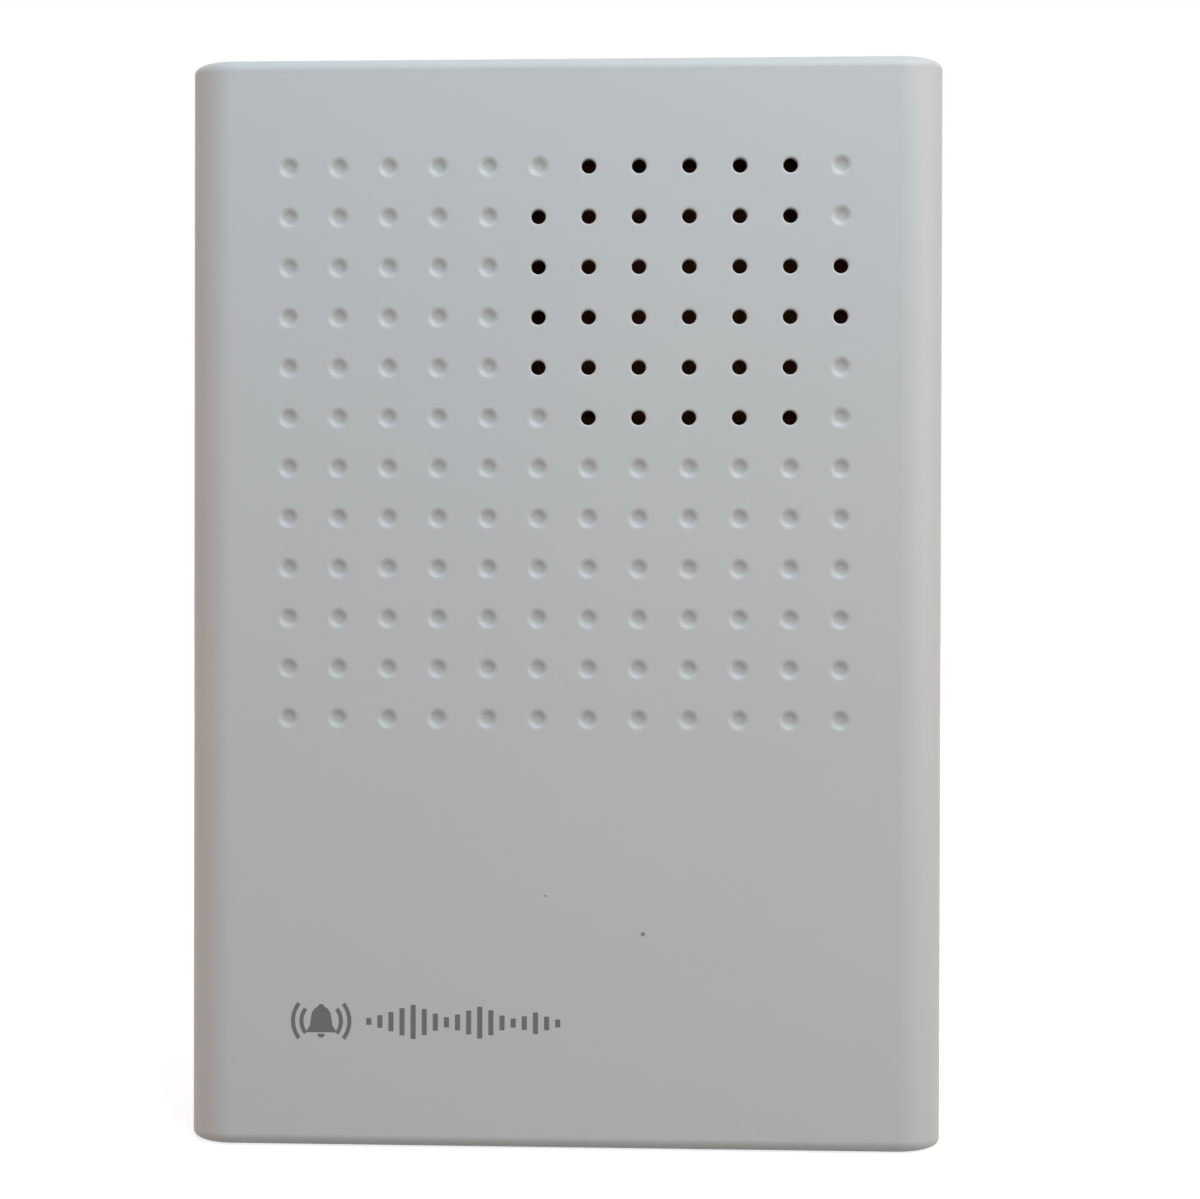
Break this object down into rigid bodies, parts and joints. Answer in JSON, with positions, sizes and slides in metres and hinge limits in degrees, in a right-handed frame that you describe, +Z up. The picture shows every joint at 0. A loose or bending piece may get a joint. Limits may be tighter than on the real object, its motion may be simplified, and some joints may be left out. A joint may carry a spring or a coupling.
{
  "type": "wired door chime unit",
  "caption": "Wall-hung indoor sounder of a wired doorbell: flat pale box with a dotted face, part of it open before a small speaker, clipped onto a base with circuit board and terminals.",
  "frame": {"origin": "centre of the back plate's rear face, on the wall", "axes": "+Z up, +Y into the wall, +X to the right as seen from the front, so the dotted face looks along -Y"},
  "size_m": [0.067, 0.027, 0.096],
  "materials": {
    "cover_abs": "fine satin moulded",
    "base_abs": "fine satin moulded",
    "board_laminate": "green solder mask over glass laminate",
    "terminal_nylon": "moulded nylon",
    "zinc_steel": "zinc plated",
    "nickel_brass": "nickel plated",
    "chip_epoxy": "moulded epoxy",
    "tinned_copper": "tinned",
    "capacitor_sleeve": "shrunk sleeve, bare aluminium top",
    "tan_ceramic": "fired",
    "black_film": "glazed resistor film",
    "basket_steel": "pressed and zinc plated",
    "ferrite": "sintered",
    "cone_paper": "pressed dark pulp",
    "edge_cloth": "doped cloth",
    "spider_cloth": "resin-dipped cloth",
    "gasket_foam": "closed-cell foam",
    "coil_copper": "enamelled wire",
    "former_kraft": "wound kraft",
    "tag_laminate": "pressed fibre board",
    "red_pvc": "extruded",
    "black_pvc": "extruded"
  },
  "bodies": {
    "base": {"back_plate": "base_abs", "snap_hooks": "base_abs", "circuit_board": "board_laminate", "board_screws": "zinc_steel", "terminal_block": "terminal_nylon", "terminal_contacts": "nickel_brass", "sound_chip": "chip_epoxy", "amplifier_chip": "chip_epoxy", "component_legs": "tinned_copper", "supply_capacitor": "capacitor_sleeve", "output_capacitor": "capacitor_sleeve", "ceramic_capacitors": "tan_ceramic", "chip_resistors": "black_film", "diodes": "chip_epoxy", "voltage_regulator": "chip_epoxy", "driver_transistor": "chip_epoxy", "clamp_washers": "zinc_steel", "speaker_screws": "zinc_steel", "speaker_lead_red": "red_pvc", "speaker_lead_black": "black_pvc", "speaker_frame": "basket_steel", "speaker_gasket": "gasket_foam", "surround": "edge_cloth", "spider": "spider_cloth", "speaker_top_plate": "zinc_steel", "speaker_magnet": "ferrite", "speaker_yoke": "zinc_steel", "speaker_tag_board": "tag_laminate", "speaker_tags": "tinned_copper", "tinsel_leads": "coil_copper"},
    "cover": {"front_cover": "cover_abs"},
    "cone": {"cone": "cone_paper", "dust_cap": "cone_paper", "voice_coil_former": "former_kraft", "voice_coil": "coil_copper"},
    "screw_1": {"terminal_screw_1": "zinc_steel"},
    "screw_2": {"terminal_screw_2": "zinc_steel"},
    "clamp_1": {"wire_clamp_1": "nickel_brass"},
    "clamp_2": {"wire_clamp_2": "nickel_brass"}
  },
  "joints": [
    {"name": "cover_pull_off", "type": "slide", "parent": "base", "child": "cover", "axis": [0, -1, 0], "range_m": [0, 0.04], "deforming": ["snap_hooks"]},
    {"name": "cone_travel", "type": "slide", "parent": "base", "child": "cone", "axis": [0, -1, 0], "range_m": [-0.0005, 0.0005], "stiffness_N_per_m": 800, "deforming": ["surround", "spider", "tinsel_leads"]},
    {"name": "screw_1_turn", "type": "hinge", "parent": "base", "child": "screw_1", "pos_m": [-0.01804, -0.018, -0.0003], "axis": [0, 1, 0], "range_deg": [0, 1600.5]},
    {"name": "clamp_1_rise", "type": "slide", "parent": "base", "child": "clamp_1", "axis": [0, -1, 0], "range_m": [0, 0.002]},
    {"name": "screw_2_turn", "type": "hinge", "parent": "base", "child": "screw_2", "pos_m": [-0.01296, -0.018, -0.0003], "axis": [0, 1, 0], "range_deg": [0, 1600.5]},
    {"name": "clamp_2_rise", "type": "slide", "parent": "base", "child": "clamp_2", "axis": [0, -1, 0], "range_m": [0, 0.002]}
  ],
  "couplings": [
    {"joint": "screw_1_turn", "follows": "clamp_1_rise", "rad_per_m": 13963},
    {"joint": "screw_2_turn", "follows": "clamp_2_rise", "rad_per_m": 13963}
  ]
}
